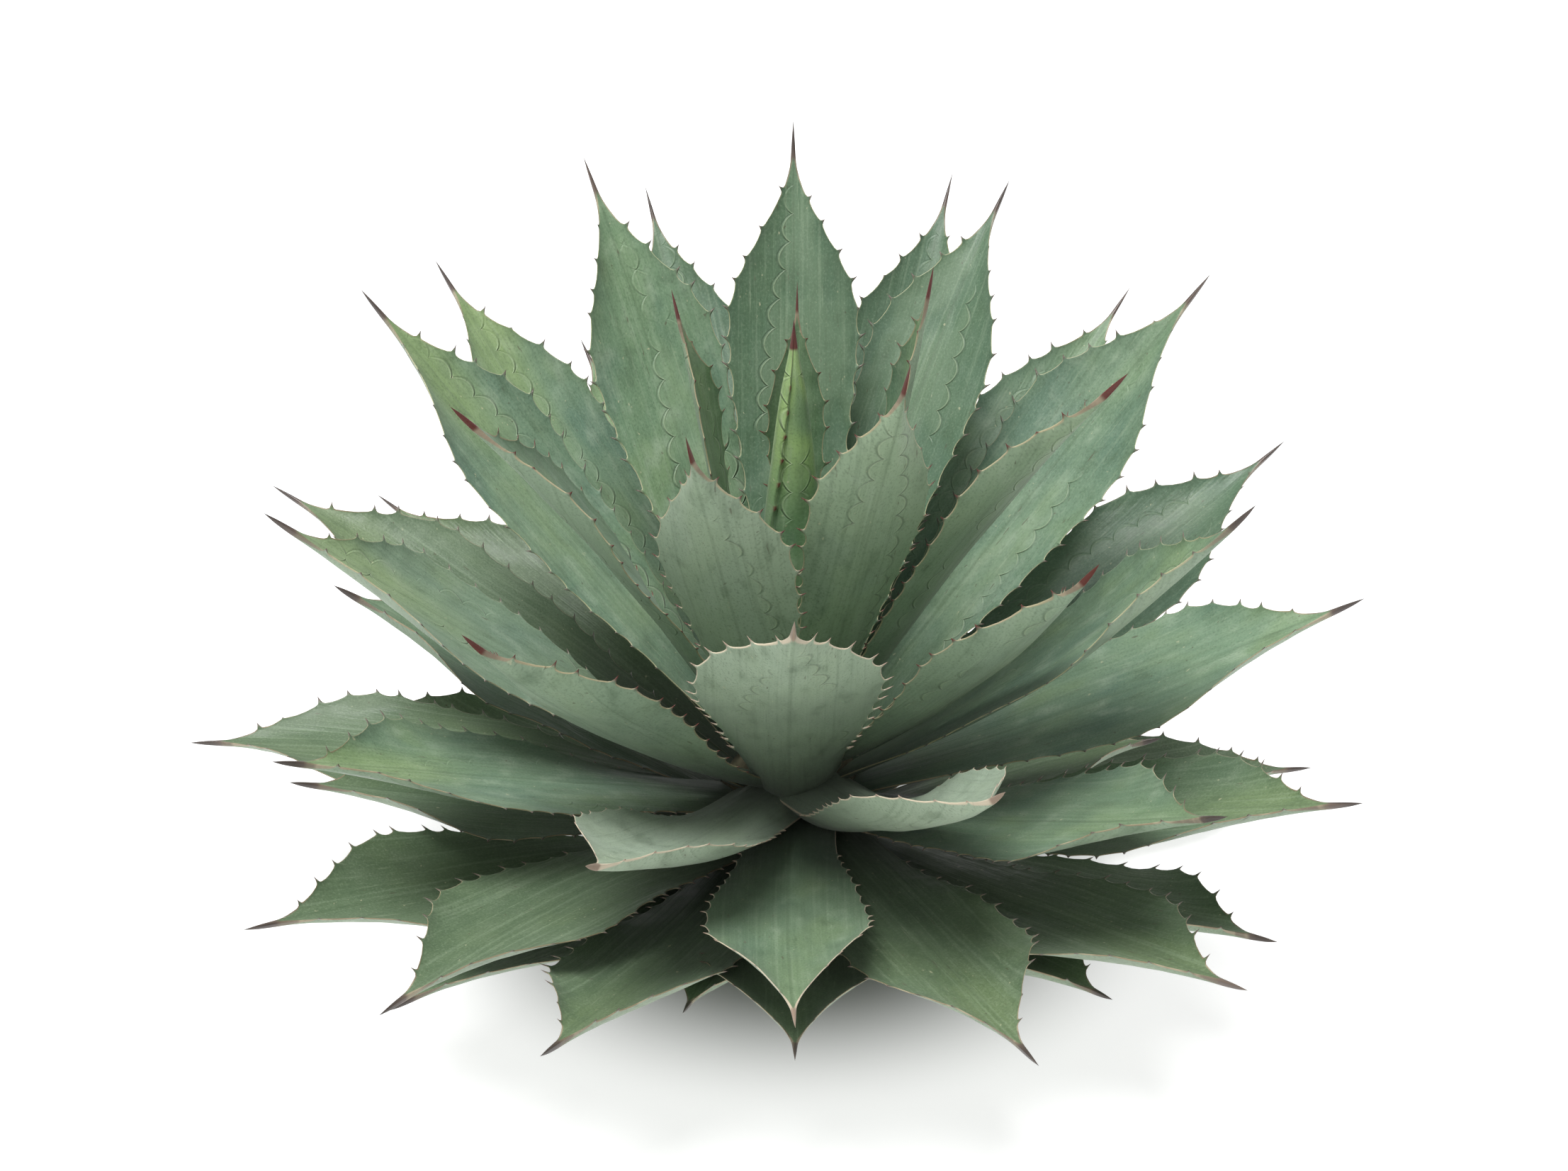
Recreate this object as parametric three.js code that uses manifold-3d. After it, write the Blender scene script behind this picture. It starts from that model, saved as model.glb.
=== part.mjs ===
// An agave rosette: a short domed stem cut flat underneath, fifty-four toothed leaves that grow from it
// in spirals, and the pointed bud of unopened leaves in the middle. Millimetres, +Z up.
// The origin is the middle of the stem's cut face. The plant rests on that face.
//
// Each leaf is one closed solid: its blade, the teeth of both margins and the end spine are grown
// together. Azimuth 0 points along -Y and turns towards +X; rise is measured up from the horizontal.

import * as THREE from 'three';
import { mergeVertices } from 'three/addons/utils/BufferGeometryUtils.js';
import Module from 'manifold-3d';

// ---------- driving dimensions ----------

const STEM_RADIUS = 60;
const STEM_WALL_HEIGHT = 41;
const STEM_DOME_HEIGHT = 88;
const STEM_SIDES = 36;
const STEM_DOME_RINGS = 10;
const TOP_SEAT_ANGLE = 75;
const CLEARANCE = 0.5;

const BUD_LENGTH = 292;
const BUD_SIDES = 12;
const BUD_ROLL_STEP = 0.14;
const BUD_ROLL_START = 0.5;
const BUD_ROLL_TURN = 0.25;

// Shares of the bud's length, from its foot to the tip of its spine, and its radius at each of them.
const BUD_RADIUS_KNOTS = [[0, 10], [0.25, 20], [0.5, 18.5], [0.68, 13.5], [0.82, 8.5], [0.93, 2.8], [1, 0]];
const BUD_RINGS = [0, 0.1, 0.25, 0.42, 0.56, 0.68, 0.76, 0.85, 0.93];

const TEETH_PER_MARGIN = 10;
const TOOTH_HEIGHT = 5;
const TOOTH_HALF_WIDTH = 4;
const TOOTH_LEAN = 1.5;
const FIRST_TOOTH = 0.25;
const LAST_TOOTH = 0.865;

// Degrees of the stem that a base fills on either side of its middle, at most, and its thickness as a
// multiple of what the knots below give: squeezed between neighbours, and free to clasp the stem.
const SQUEEZED_HALF_ANGLE = 22;
const FREE_HALF_ANGLE = 70;
const SQUEEZED_BULK = 0.55;
const FREE_BULK = 2;

// Where bases press on each other the outer leaf gives way to the inner one. These are the gaps it leaves
// across the inner blade and at its margins, and how far under the inner base it stays clear.
const BLADE_GAP = 0.8;
const MARGIN_GAP = 1.2;
const SEAT_DEPTH = 3;
const SMALLEST_GAP = 0.3;
const SMALLEST_DETAIL = 0.1;
const WELD = 0.001;

// The share of a leaf's length over which its base runs out from the stem's surface, and the shares
// between which its roll builds up, the extra bulk of its base fades, the curve with which it clasps the
// stem opens into the channel, and the channel closes towards the tip.
const SEATED_SHARE = 0.08;
const ROLL_SPAN = [0, 0.5];
const BULK_SPAN = [0.1, 0.5];
const OPENING_SPAN = [0.15, 0.5];
const CLOSING_SPAN = [0.55, 0.92];

// How sharply a base's width is held back by its neighbours, and the sine of the tightest clasp.
const CROWDING_POWER = 4;
const TIGHTEST_CLASP = 0.8;

// Degrees from the middle line to the margin, round the channel's curve, at the tip.
const TIP_FOLD = 55;
const FLATTEST_FOLD = 0.03;
const UNDERSIDE_SHARE = 0.6;
const LENS_POWER = 2.2;
const MIDDLE_LINE_PIECES = 60;

// Shares of the leaf's length, from the stem to the tip of the spine, and at each of them the leaf's
// width as a share of its widest, and its thickness as a share of its widest width.
const ROWS_ACROSS = [-1, -0.5, 0, 0.5, 1];
const STATIONS = [0, 0.08, 0.2, 0.33, 0.46, 0.58, 0.68, 0.77, 0.85, 0.925];
const WIDTH_KNOTS = [
  [0, 0.6], [0.08, 0.6], [0.2, 0.63], [0.33, 0.76], [0.45, 0.89], [0.55, 0.98], [0.61, 1], [0.67, 0.95],
  [0.73, 0.77], [0.78, 0.555], [0.84, 0.31], [0.895, 0.118], [0.93, 0.055], [0.97, 0.03], [1, 0],
];
const THICKNESS_KNOTS = [
  [0, 0.12], [0.12, 0.11], [0.3, 0.085], [0.5, 0.06], [0.7, 0.055], [0.85, 0.05], [0.93, 0.045],
  [0.97, 0.03], [1, 0],
];

// Every leaf from the heart outwards, in the order in which they sit down the dome:
// [azimuth, rise, length, arch, width, roll, swing, heft, channel]. Arch is how far the leaf's direction
// turns up (+) or down (-) from stem to tip, roll turns the blade about its own length, and swing bends it
// sideways. Heft says how broad and thick the base is: 0 where others squeeze it, 1 or more where it is
// free. Channel is the angle from the middle line to the margin, round the blade's curve, halfway along.
const LEAVES = [
  [178, 80, 300, 0, 56, 0, 0, 0, 15],
  [21, 63, 375, 5, 86, 0, 0, 0, 15],
  [97, 78, 335, 5, 60, 0, 0, 0, 15],
  [-105, 79, 315, -5, 60, 0, 0, 0, 15],
  [180, 65, 405, 5, 104, 0, 0, 0, 15],
  [60, 56, 372, -15, 96, 5, 0, 0, 22],
  [-17, 58, 360, 5, 88, 0, 0, 0.15, 15],
  [-144, 58, 405, 0, 100, 10, 5, 0, 15],
  [146.5, 53, 400, -15, 102, 0, -5, 0, 15],
  [-57, 54, 368, -15, 94, 15, 0, 0, 22],
  [39, 43, 345, 17, 96, 0, 0, 0, 30],
  [-111, 46, 395, 2, 98, 10, 0, 0, 15],
  [0, 41, 375, 10, 112, 0, 5, 1.4, 18],
  [118, 45, 400, 2, 105, -16, -5, 0, 15],
  [-162, 43, 420, 7, 98, 10, 5, 0, 15],
  [159, 48, 415, 2, 98, -10, 0, 0, 15],
  [-35, 37, 370, 17, 94, -10, -5, 0.2, 30],
  [61, 42.3, 375, 17, 98, -15, 0, 0, 22],
  [-133, 42, 403, 7, 100, 5, 0, 0, 15],
  [18, 27, 380, 24, 98, -3, 0, 1.3, 50],
  [140, 35, 405, 2, 98, -15, 0, 0, 15],
  [-71, 38, 380, 6, 102, 15, 0, 0, 15],
  [179, 33, 380, -8, 96, 0, 0, 0, 15],
  [-17, 22, 380, 15, 100, 3, 5, 1, 34],
  [77, 27.6, 362, 8, 102, -17, 0, 0.25, 15],
  [120, 24.4, 385, 13, 104, -14, 0, 0, 15],
  [-156, 28, 380, 2, 98, 5, 0, 0, 15],
  [-53, 22, 365, 1, 100, 10, 5, 0.4, 15],
  [40, 22, 365, 11, 102, -14, -5, 0.4, 15],
  [-88, 31.5, 290, 2, 112, 5, 0, 0, 15],
  [0, 12, 385, -4, 96, 0, 5, 0.6, 15],
  [-177, 20, 395, -13, 98, 0, 0, 0, 15],
  [56, 18, 375, 8, 102, -13, -5, 0.2, 15],
  [-116, 23, 380, -3, 98, 10, 0, 0, 15],
  [-68, 15.5, 298, 6, 102, 10, 0, 0, 15],
  [18.4, 8, 380, -8, 107, -4, 5, 0.5, 15],
  [-33, 9, 385, -15, 102, 0, 5, 0.4, 15],
  [-134, 15, 380, -3, 98, 15, 0, 0, 15],
  [158, 14, 390, -3, 98, 0, 0, 0, 15],
  [-100, 2, 365, -15, 100, 9, 0, 0, 15],
  [39, 9.5, 365, 5, 102, -3, -5, 0.3, 15],
  [-19, 11, 385, 5, 102, -5, -5, 0.5, 15],
  [93, 16, 195, -8, 96, 0, 0, 0.2, 15],
  [-163, 4, 385, -8, 98, 0, 0, 0, 15],
  [-50, 12.2, 375, -2, 102, 14, 5, 0.3, 15],
  [142, 4, 380, -8, 98, 0, 0, 0, 15],
  [0, 11, 330, -5, 105, 0, 0, 0, 15],
  [55, 7.2, 305, 0, 98, 3, -5, 0, 15],
  [-113, 7, 285, 4, 98, 0, 0, 0, 15],
  [-42, 6, 305, -13, 96, 0, 0, 0, 15],
  [115, -6, 355, -5, 96, -5, 0, 0.2, 15],
  [179, -2, 380, -18, 98, 0, 0, 0, 15],
  [36, 9, 268, -3, 94, 0, 0, 0, 15],
  [-13, 12, 240, -8, 94, 0, 0, 0, 15],
];

// ---------- small helpers ----------

const modeller = await Module();
modeller.setup();

const radians = THREE.MathUtils.degToRad;
const smoothstep = THREE.MathUtils.smoothstep;

// A smooth curve through [position, value] knots that never overshoots them (monotone cubic).
function through(knots) {
  const slopes = knots.slice(1).map(([x, y], i) => (y - knots[i][1]) / (x - knots[i][0]));
  const tangents = knots.map((_, i) => {
    const before = slopes[Math.max(i - 1, 0)];
    const after = slopes[Math.min(i, slopes.length - 1)];
    return before * after <= 0 ? 0 : (2 * before * after) / (before + after);
  });
  return (x) => {
    let i = 0;
    while (i < slopes.length - 1 && x > knots[i + 1][0]) i += 1;
    const step = knots[i + 1][0] - knots[i][0];
    const t = (x - knots[i][0]) / step;
    const [a, b] = [knots[i][1], knots[i + 1][1]];
    return (
      a * (1 + 2 * t) * (1 - t) ** 2 + tangents[i] * step * t * (1 - t) ** 2 +
      b * t * t * (3 - 2 * t) + tangents[i + 1] * step * t * t * (t - 1)
    );
  };
}

const widthShare = through(WIDTH_KNOTS);
const thicknessShare = through(THICKNESS_KNOTS);

function material(color, roughness) {
  return new THREE.MeshStandardMaterial({ color, roughness, metalness: 0 });
}

function solidFrom(coordinates, triangles) {
  return new modeller.Manifold(new modeller.Mesh({
    numProp: 3,
    vertProperties: new Float32Array(coordinates),
    triVerts: new Uint32Array(triangles),
  }));
}

function solid(vertices, triangles) {
  const geometry = new THREE.BufferGeometry();
  const coordinates = vertices.flatMap((v) => v.toArray());
  geometry.setAttribute('position', new THREE.Float32BufferAttribute(coordinates, 3));
  geometry.setIndex(triangles);
  geometry.computeVertexNormals();
  return geometry;
}

// ---------- stem ----------

// The radius and height of the dome where the leaf of this row sits.
function seat(row) {
  const angle = radians(TOP_SEAT_ANGLE * (1 - row / (LEAVES.length - 1)));
  return {
    radius: STEM_RADIUS * Math.cos(angle) + CLEARANCE,
    height: STEM_WALL_HEIGHT + STEM_DOME_HEIGHT * Math.sin(angle) + CLEARANCE,
  };
}

// How far a point has to move along a direction that leads away from the stem to lie on the stem's
// surface: on the dome, or on the upright wall below it.
function toDome(point, direction) {
  const reach = STEM_RADIUS + CLEARANCE;
  const crown = STEM_DOME_HEIGHT + CLEARANCE;
  const distance = (onDome) => {
    const height = onDome ? (point.z - STEM_WALL_HEIGHT) / crown : 0;
    const p = new THREE.Vector3(point.x / reach, point.y / reach, height);
    const d = new THREE.Vector3(direction.x / reach, direction.y / reach, onDome ? direction.z / crown : 0);
    const inside = Math.max(p.dot(d) ** 2 - d.lengthSq() * (p.lengthSq() - 1), 0);
    return (Math.sqrt(inside) - p.dot(d)) / d.lengthSq();
  };
  const toRound = distance(true);
  return point.z + toRound * direction.z < STEM_WALL_HEIGHT ? distance(false) : toRound;
}

function stemSurface(grown) {
  const profile = [new THREE.Vector2(0, 0), new THREE.Vector2(STEM_RADIUS + grown, 0)];
  for (let i = 0; i <= STEM_DOME_RINGS; i += 1) {
    const angle = (Math.PI / 2) * (i / STEM_DOME_RINGS);
    const radius = i === STEM_DOME_RINGS ? 0 : (STEM_RADIUS + grown) * Math.cos(angle);
    profile.push(new THREE.Vector2(radius, STEM_WALL_HEIGHT + (STEM_DOME_HEIGHT + grown) * Math.sin(angle)));
  }
  const geometry = new THREE.LatheGeometry(profile, STEM_SIDES);
  return geometry.rotateX(Math.PI / 2);
}

function makeStem() {
  const stem = new THREE.Mesh(stemSurface(0), material(0xb9b58f, 0.85));
  stem.name = 'stem';
  return stem;
}

// ---------- leaves ----------

// The leaf's middle line and its directions at share s of its length.
function leafFrame(leaf, row) {
  const [azimuth, rise, length, arch, width, roll, swing, heft, channel] = leaf;
  const halfAngle = THREE.MathUtils.lerp(SQUEEZED_HALF_ANGLE, FREE_HALF_ANGLE, heft);
  const bulk = THREE.MathUtils.lerp(SQUEEZED_BULK, FREE_BULK, heft);
  const base = seat(row);
  const turn = (s) => radians(azimuth + swing * (s - 0.5));
  const climb = (s) => radians(rise + arch * (s - 0.5));
  const heading = (s) => new THREE.Vector3(
    Math.cos(climb(s)) * Math.sin(turn(s)), -Math.cos(climb(s)) * Math.cos(turn(s)), Math.sin(climb(s)),
  );
  const start = new THREE.Vector3(
    base.radius * Math.sin(radians(azimuth)), -base.radius * Math.cos(radians(azimuth)), base.height,
  );
  const middle = [start];
  const step = 1 / MIDDLE_LINE_PIECES;
  for (let i = 0; i < MIDDLE_LINE_PIECES; i += 1) {
    middle.push(middle[i].clone().addScaledVector(heading((i + 0.5) * step), length * step));
  }
  const middleAt = (s) => {
    const i = Math.min(Math.floor(s / step), MIDDLE_LINE_PIECES - 1);
    return middle[i].clone().lerp(middle[i + 1], s / step - i);
  };

  return (s) => {
    const point = middleAt(s);
    const forward = heading(s);
    const level = new THREE.Vector3(Math.cos(turn(s)), Math.sin(turn(s)), 0);
    const above = new THREE.Vector3().crossVectors(forward, level);
    const twist = radians(roll) * smoothstep(s, ...ROLL_SPAN);
    const side = level.clone().multiplyScalar(Math.cos(twist)).addScaledVector(above, -Math.sin(twist));
    const up = above.multiplyScalar(Math.cos(twist)).addScaledVector(level, Math.sin(twist));

    // Near the stem the blade bends round the plant's axis, further out it is a shallow channel, and
    // towards the tip the channel closes.
    const reach = Math.hypot(point.x, point.y);
    const free = (widthShare(s) * width) / 2;
    const room = reach * Math.sin(radians(halfAngle));
    const halfWidth = free / (1 + (free / room) ** CROWDING_POWER) ** (1 / CROWDING_POWER);
    const thickening = THREE.MathUtils.lerp(bulk, 1, smoothstep(s, ...BULK_SPAN));
    const thickness = thicknessShare(s) * width * thickening;
    const wrap = (halfWidth * Math.max(Math.sin(climb(s)), 0)) / reach;
    const clasp = Math.asin(Math.min(wrap, TIGHTEST_CLASP));
    const middleFold = THREE.MathUtils.lerp(clasp, radians(channel), smoothstep(s, ...OPENING_SPAN));
    const closing = radians(TIP_FOLD - channel) * smoothstep(s, ...CLOSING_SPAN);
    const fold = Math.max(middleFold + closing, FLATTEST_FOLD);
    return { point, forward, side, up, halfWidth, fold, thickness };
  };
}

// A point of the blade at share s of its length and share u of its half width, -1 to 1. face is 1 on the
// upper side, -1 on the underside and 0 on the margin; out moves a margin point outwards in the blade,
// lean moves it towards the tip, and swell moves a point of either side away from the middle plane.
function bladePoint(frame, s, u, face, { out = 0, lean = 0, swell = 0 } = {}) {
  const at = frame(s);
  const radius = at.halfWidth / Math.sin(at.fold);
  const across = radius * Math.sin(at.fold * u);
  const curl = radius * (1 - Math.cos(at.fold * u));
  const body = at.thickness * (1 - Math.abs(u) ** LENS_POWER);
  const share = face > 0 ? 1 - UNDERSIDE_SHARE : UNDERSIDE_SHARE;
  const raise = (body * share + swell) * face;
  const point = at.point
    .addScaledVector(at.side, across + out * u * Math.cos(at.fold))
    .addScaledVector(at.up, curl + raise + out * Math.sin(at.fold))
    .addScaledVector(at.forward, lean);
  return point.addScaledVector(at.forward, (1 - smoothstep(s, 0, SEATED_SHARE)) * toDome(point, at.forward));
}

// Joins two rows of vertices that run along the leaf, always stepping on in the row that lags behind.
function strip(triangles, left, right, upper) {
  let i = 0;
  let j = 0;
  while (i < left.length - 1 || j < right.length - 1) {
    const stepLeft = j === right.length - 1 || (i < left.length - 1 && left[i + 1].s <= right[j + 1].s);
    const next = stepLeft ? left[i + 1] : right[j + 1];
    const corner = [left[i].index, right[j].index, next.index];
    if (new Set(corner).size === 3) triangles.push(...(upper ? corner.reverse() : corner));
    if (stepLeft) i += 1;
    else j += 1;
  }
}

// Closes the space between the rows of vertices on a leaf's upper side and those on its underside. Where
// both sides share a margin row it is a sharp edge, otherwise a narrow wall closes it.
function closedLeaf(vertices, top, bottom) {
  const triangles = [];
  for (let i = 0; i < top.length - 1; i += 1) {
    strip(triangles, top[i], top[i + 1], true);
    strip(triangles, bottom[i], bottom[i + 1], false);
    const [a, b, c, d] = [top[i][0], top[i + 1][0], bottom[i + 1][0], bottom[i][0]].map((v) => v.index);
    if (a !== d) triangles.push(a, b, d);
    if (b !== c) triangles.push(b, c, d);
  }
  const last = top.length - 1;
  if (top[0] !== bottom[0]) strip(triangles, bottom[0], top[0], true);
  if (top[last] !== bottom[last]) strip(triangles, top[last], bottom[last], true);
  return solidFrom(vertices.flatMap((v) => v.toArray()), triangles);
}

// The slightly larger space round a leaf's blade that outer leaves keep out of. It also reaches a little
// way into the stem, so that nothing wedges in under the base.
function bladeRoom(frame) {
  const vertices = [];
  const add = (s, point) => ({ s, index: vertices.push(point) - 1 });
  const tip = add(1, bladePoint(frame, 1, 0, 0));
  const line = (u, face) => {
    const grown = { out: Math.abs(u) === 1 ? MARGIN_GAP : 0, swell: BLADE_GAP };
    const foot = bladePoint(frame, 0, u, face, grown).addScaledVector(frame(0).forward, -SEAT_DEPTH);
    return [add(-1, foot), ...STATIONS.map((s) => add(s, bladePoint(frame, s, u, face, grown))), tip];
  };
  return closedLeaf(vertices, ROWS_ACROSS.map((u) => line(u, 1)), ROWS_ACROSS.map((u) => line(u, -1)));
}

// The whole leaf before neighbours press on it: two sides that share their toothed margins.
function wholeLeaf(frame, length) {
  const vertices = [];
  const add = (s, point) => ({ s, index: vertices.push(point) - 1 });
  const tip = add(1, bladePoint(frame, 1, 0, 0));

  const line = (u, face) => [...STATIONS.map((s) => add(s, bladePoint(frame, s, u, face))), tip];
  const half = TOOTH_HALF_WIDTH / length;
  const margin = (u) => {
    const bare = STATIONS.filter((s) => s < FIRST_TOOTH - half);
    const points = bare.map((s) => add(s, bladePoint(frame, s, u, 0)));
    for (let i = 0; i < TEETH_PER_MARGIN; i += 1) {
      const s = THREE.MathUtils.lerp(FIRST_TOOTH, LAST_TOOTH, i / (TEETH_PER_MARGIN - 1));
      points.push(add(s - half, bladePoint(frame, s - half, u, 0)));
      points.push(add(s, bladePoint(frame, s, u, 0, { out: TOOTH_HEIGHT, lean: TOOTH_LEAN })));
      points.push(add(s + half, bladePoint(frame, s + half, u, 0)));
    }
    const spineFoot = STATIONS[STATIONS.length - 1];
    points.push(add(spineFoot, bladePoint(frame, spineFoot, u, 0)));
    return [...points, tip];
  };

  const margins = [margin(-1), margin(1)];
  const side = (face) => [margins[0], ...ROWS_ACROSS.slice(1, -1).map((u) => line(u, face)), margins[1]];
  return closedLeaf(vertices, side(1), side(-1));
}

// The leaves in the order of LEAVES. Each is cut back where the room of the stem or of an inner leaf
// reaches into it.
function makeLeaves() {
  const [stem, stemRoom] = [0, CLEARANCE].map((grown) => {
    const surface = mergeVertices(stemSurface(grown).deleteAttribute('uv').deleteAttribute('normal'), WELD);
    return solidFrom(surface.attributes.position.array, surface.index.array);
  });
  const inner = [{ solid: stem, room: stemRoom }];
  return LEAVES.map((leaf, row) => {
    const frame = leafFrame(leaf, row);
    const whole = wholeLeaf(frame, leaf[2]);
    const pressing = inner.filter((other) => other.solid.minGap(whole, BLADE_GAP) < SMALLEST_GAP);
    const parts = pressing.reduce((rest, other) => rest.subtract(other.room), whole).decompose();
    const largest = parts.sort((a, b) => b.volume() - a.volume())[0];
    const shaped = pressing.length ? largest.simplify(SMALLEST_DETAIL) : whole;
    const { vertProperties, triVerts } = shaped.getMesh();
    inner.push({ solid: largest, room: bladeRoom(frame) });
    const geometry = new THREE.BufferGeometry();
    geometry.setAttribute('position', new THREE.BufferAttribute(vertProperties, 3));
    geometry.setIndex(new THREE.BufferAttribute(triVerts, 1));
    geometry.computeVertexNormals();
    const mesh = new THREE.Mesh(geometry, material(0x6f8f78, 0.55));
    mesh.name = `leaf_${String(row + 1).padStart(2, '0')}`;
    return mesh;
  });
}

// ---------- bud ----------

// The unopened leaves are rolled round each other into a slender spindle: its cross-section is a roll
// whose outer edge stands a little proud, and that edge winds a quarter turn from base to tip.
function makeBud() {
  const belly = through(BUD_RADIUS_KNOTS);
  const foot = STEM_WALL_HEIGHT + STEM_DOME_HEIGHT + CLEARANCE;
  const vertices = [];
  const triangles = [];
  BUD_RINGS.forEach((s) => {
    for (let i = 0; i < BUD_SIDES; i += 1) {
      const angle = 2 * Math.PI * (i / BUD_SIDES + BUD_ROLL_START + s * BUD_ROLL_TURN);
      const radius = belly(s) * (1 + BUD_ROLL_STEP * (i / (BUD_SIDES - 1) - 0.5));
      const height = foot + s * BUD_LENGTH;
      vertices.push(new THREE.Vector3(radius * Math.cos(angle), radius * Math.sin(angle), height));
    }
  });
  const bottom = vertices.push(new THREE.Vector3(0, 0, foot)) - 1;
  const tip = vertices.push(new THREE.Vector3(0, 0, foot + BUD_LENGTH)) - 1;
  for (let i = 0; i < BUD_SIDES; i += 1) {
    const next = (i + 1) % BUD_SIDES;
    triangles.push(bottom, next, i);
    BUD_RINGS.slice(1).forEach((_, ring) => {
      const [low, high] = [ring * BUD_SIDES, (ring + 1) * BUD_SIDES];
      triangles.push(low + i, low + next, high + next, low + i, high + next, high + i);
    });
    const last = (BUD_RINGS.length - 1) * BUD_SIDES;
    triangles.push(last + i, last + next, tip);
  }
  const mesh = new THREE.Mesh(solid(vertices, triangles), material(0x93ad6c, 0.5));
  mesh.name = 'bud';
  return mesh;
}

// ---------- the plant ----------

const agave = new THREE.Group();
agave.add(makeStem(), makeBud(), ...makeLeaves());

export default agave;
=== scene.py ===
# %% [markdown]
# # A toothed agave rosette
# This lesson dresses a living agave, lifted from the ground with its roots trimmed off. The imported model
# is the frame: a short stem cut flat, a pointed bud, and fifty-four leaves in spirals round it. It is
# plain and coarse. Here each of these pieces is worked out again with many more points, in the same place,
# and then gets a skin that is built from measured distances and noise.
#
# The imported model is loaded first. Its box is kept, so that the finished plant can be held against it.

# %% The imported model
import math

import bpy
import numpy as np
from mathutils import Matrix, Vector


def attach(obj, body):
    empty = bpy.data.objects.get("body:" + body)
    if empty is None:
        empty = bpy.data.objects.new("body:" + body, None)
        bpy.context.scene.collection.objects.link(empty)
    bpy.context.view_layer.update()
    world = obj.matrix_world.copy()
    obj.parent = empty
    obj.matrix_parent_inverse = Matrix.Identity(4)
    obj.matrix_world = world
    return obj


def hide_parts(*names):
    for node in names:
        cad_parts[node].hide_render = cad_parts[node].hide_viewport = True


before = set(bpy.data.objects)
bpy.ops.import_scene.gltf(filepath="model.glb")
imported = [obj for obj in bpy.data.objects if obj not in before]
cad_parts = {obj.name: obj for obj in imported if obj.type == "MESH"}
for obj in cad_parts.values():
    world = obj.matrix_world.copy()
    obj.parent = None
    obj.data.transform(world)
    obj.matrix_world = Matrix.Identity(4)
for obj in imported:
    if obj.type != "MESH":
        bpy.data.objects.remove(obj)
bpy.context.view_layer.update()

# %% [markdown]
# ## The camera
# The plant is seen from the front and a little above, from about two metres away with a longish lens. From
# there the near leaves look only a little larger than the far ones, as plants are usually shown in a
# catalogue. The camera looks at a point inside the rosette, and its distance and lens together give the
# width of the view.

# %% The camera
LOOK_AT = Vector((-0.0062, 0.0, 0.2371))
CAMERA_DISTANCE = 2.3
CAMERA_ELEVATION = math.radians(25)
VIEW_WIDTH = 1.018
SENSOR_WIDTH = 36.0
FURTHEST_SEEN = 200

camera = bpy.data.objects.new("camera", bpy.data.cameras.new("camera"))
backwards = Vector((0, -math.cos(CAMERA_ELEVATION), math.sin(CAMERA_ELEVATION)))
camera.location = LOOK_AT + backwards * CAMERA_DISTANCE
camera.rotation_euler = (-backwards).to_track_quat("-Z", "Y").to_euler()
camera.data.sensor_width = SENSOR_WIDTH
camera.data.lens = SENSOR_WIDTH * CAMERA_DISTANCE / VIEW_WIDTH
camera.data.clip_end = FURTHEST_SEEN
bpy.context.scene.collection.objects.link(camera)
bpy.context.scene.camera = camera
print(f"lens {camera.data.lens:.1f} mm at {CAMERA_DISTANCE} m")

# %% [markdown]
# ## Curves through a few known values
# A leaf's width and thickness are known at some places along it. A curve through those places should be
# smooth but never swing past them, or a slender tip would turn inside out. Each piece of the curve below
# is a cubic, and its slope at a knot is the harmonic mean of the slopes on either side, which keeps it
# from overshooting.

# %% Curves
def smoothstep(x, low, high):
    """0 below low, 1 above high, and 3t^2 - 2t^3 in between."""
    t = np.clip((x - low) / (high - low), 0, 1)
    return t * t * (3 - 2 * t)


def mix(a, b, share):
    """a where share is 0, b where it is 1."""
    return a + (b - a) * share


def through(knots):
    """A cubic between each pair of (place, value) knots, with harmonic-mean slopes at the knots."""
    x, y = np.array(knots, float).T
    slope = np.diff(y) / np.diff(x)
    before, after = np.r_[slope[0], slope], np.r_[slope, slope[-1]]
    same_way = before * after > 0
    tangent = np.where(same_way, 2 * before * after / np.where(same_way, before + after, 1), 0)

    def value(place):
        i = np.clip(np.searchsorted(x, place, side="right") - 1, 0, len(x) - 2)
        step = x[i + 1] - x[i]
        t = (place - x[i]) / step
        return (y[i] * (1 + 2 * t) * (1 - t) ** 2 + tangent[i] * step * t * (1 - t) ** 2
                + y[i + 1] * t * t * (3 - 2 * t) + tangent[i + 1] * step * t * t * (t - 1))

    return value


WIDTH_SHARE = through([
    (0, 0.6), (0.08, 0.6), (0.2, 0.63), (0.33, 0.76), (0.45, 0.89), (0.55, 0.98), (0.61, 1), (0.67, 0.95),
    (0.73, 0.77), (0.78, 0.555), (0.84, 0.3), (0.895, 0.1), (0.93, 0.037), (0.965, 0.02), (1, 0)])
THICKNESS_SHARE = through([
    (0, 0.12), (0.12, 0.11), (0.3, 0.085), (0.5, 0.06), (0.7, 0.055), (0.85, 0.05), (0.93, 0.045),
    (0.97, 0.03), (1, 0)])
print("widest at 0.61 of the length:", WIDTH_SHARE(np.array([0.3, 0.61, 0.9])).round(3))

# %% [markdown]
# ## The leaves of the rosette
# An agave makes its leaves one after another round a short stem, so each leaf has a place on the stem's
# dome, a direction, and a size. All lengths here are millimetres and all angles degrees. Azimuth 0 points
# at the camera and turns to the right. The leaves are listed from the heart outwards, in the order of the
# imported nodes: azimuth, rise, length, arch, width, roll, swing, heft, channel.
#
# Arch is how far the leaf's direction turns up or down from stem to tip, roll turns the blade about its
# own length, and swing bends it sideways. Heft says how broad and thick the base is: 0 where neighbours
# squeeze it, 1 or more where it is free. Channel is the angle from the middle line to the margin, halfway
# along.

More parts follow.
